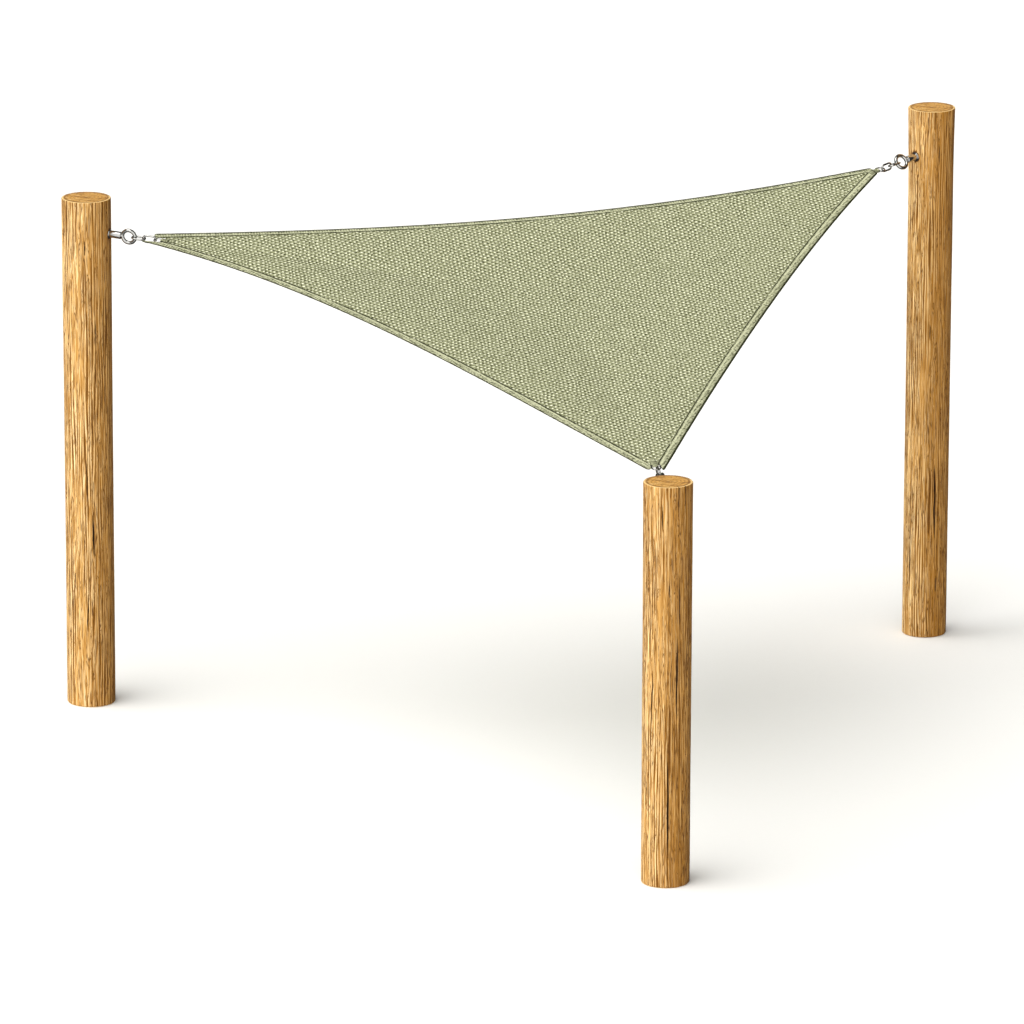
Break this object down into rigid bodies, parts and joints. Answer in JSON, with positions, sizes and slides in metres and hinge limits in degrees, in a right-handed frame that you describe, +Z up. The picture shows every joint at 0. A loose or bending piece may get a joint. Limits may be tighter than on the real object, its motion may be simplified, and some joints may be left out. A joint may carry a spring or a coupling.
{
  "type": "shade sail with wooden posts",
  "caption": "Triangular woven shade sail with hollow-cut hemmed edges, stretched by chains and eye bolts between round wooden posts.",
  "frame": {"origin": "on the ground, in the middle of the box round the posts", "axes": "+Z up, +X from the left post towards the right post, -Y towards the front post"},
  "size_m": [4.1464, 4.0604, 2.572],
  "materials": {
    "sail_cloth": "open hopsack weave, matt sage green",
    "log_wood": "peeled and oiled log with long grain and fine drying cracks",
    "bright_steel": "polished steel"
  },
  "bodies": {
    "root": {"sail": "sail_cloth", "post_left": "log_wood", "post_front": "log_wood", "post_right": "log_wood", "eye_bolt_left": "bright_steel", "eye_bolt_front": "bright_steel", "eye_bolt_right": "bright_steel", "washer_left": "bright_steel", "washer_front": "bright_steel", "washer_right": "bright_steel", "link_inner_left": "bright_steel", "link_inner_front": "bright_steel", "link_inner_right": "bright_steel", "link_outer_left": "bright_steel", "link_outer_front": "bright_steel", "link_outer_right": "bright_steel", "d_ring_left": "bright_steel", "d_ring_front": "bright_steel", "d_ring_right": "bright_steel"}
  },
  "joints": []
}
